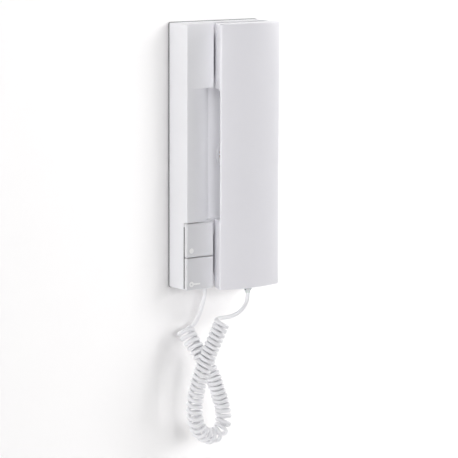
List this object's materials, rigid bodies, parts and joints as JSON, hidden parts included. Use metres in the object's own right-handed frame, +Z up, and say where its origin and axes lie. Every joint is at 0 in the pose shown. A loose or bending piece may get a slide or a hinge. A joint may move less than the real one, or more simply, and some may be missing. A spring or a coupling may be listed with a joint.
{
  "type": "audio intercom handset",
  "caption": "Wall-mounted door-entry audio handset with a finger recess, lamp and door-release keys, a lift-off receiver and a curly cord.",
  "frame": {"origin": "centre of the two wall screw holes, on the wall face", "axes": "+X to the right as seen from the room, +Y into the wall, +Z up"},
  "size_m": [0.1011, 0.055, 0.3384],
  "materials": {
    "white_shell": "satin",
    "rear_moulding": "matte",
    "zinc_steel": "zinc plated",
    "circuit_board": "satin",
    "green_terminal": "satin",
    "black_switch": "satin",
    "white_stem": "satin",
    "sounder_brass": "satin",
    "earpiece_case": "gloss",
    "foam": "matte",
    "white_cord": "satin",
    "white_plug": "satin"
  },
  "bodies": {
    "base": {"front_cover": "white_shell", "ringer_grille": "white_shell", "ringer_sounder": "sounder_brass", "rear_shell": "rear_moulding", "wall_bracket": "zinc_steel", "main_board": "circuit_board", "board_screws": "zinc_steel", "cover_screws": "zinc_steel", "terminal_block": "green_terminal", "terminal_screws": "zinc_steel", "upper_switch_body": "black_switch", "lower_switch_body": "black_switch", "hook_switch_body": "black_switch", "base_socket": "black_switch", "base_plug": "white_plug", "base_lead": "white_cord", "cord_coil": "white_cord", "handset_lead": "white_cord"},
    "upper_key": {"upper_key": "white_shell", "upper_switch_stem": "white_stem"},
    "lower_key": {"lower_key": "white_shell", "lower_switch_stem": "white_stem"},
    "hook": {"hook_plunger": "white_stem"},
    "receiver": {"handset_front": "white_shell", "handset_rear": "white_shell", "handset_screws": "zinc_steel", "earpiece_seal": "foam", "earpiece_capsule": "earpiece_case", "microphone_holder": "foam", "microphone_capsule": "black_switch", "handset_weight": "zinc_steel", "handset_socket": "black_switch", "handset_plug": "white_plug"}
  },
  "joints": [
    {"name": "upper_key_press", "type": "slide", "parent": "base", "child": "upper_key", "axis": [0, 1, 0], "range_m": [0, 0.0012], "stiffness_N_per_m": 500, "springref_m": -0.001},
    {"name": "lower_key_press", "type": "slide", "parent": "base", "child": "lower_key", "axis": [0, 1, 0], "range_m": [0, 0.0012], "stiffness_N_per_m": 500, "springref_m": -0.001},
    {"name": "receiver_lift", "type": "slide", "parent": "base", "child": "receiver", "axis": [0, -1, 0], "range_m": [0, 0.06]},
    {"name": "hook_release", "type": "slide", "parent": "base", "child": "hook", "axis": [0, -1, 0], "range_m": [0, 0.0035]}
  ],
  "couplings": [
    {"joint": "hook_release", "follows": "receiver_lift", "ratio": 0.0583}
  ]
}
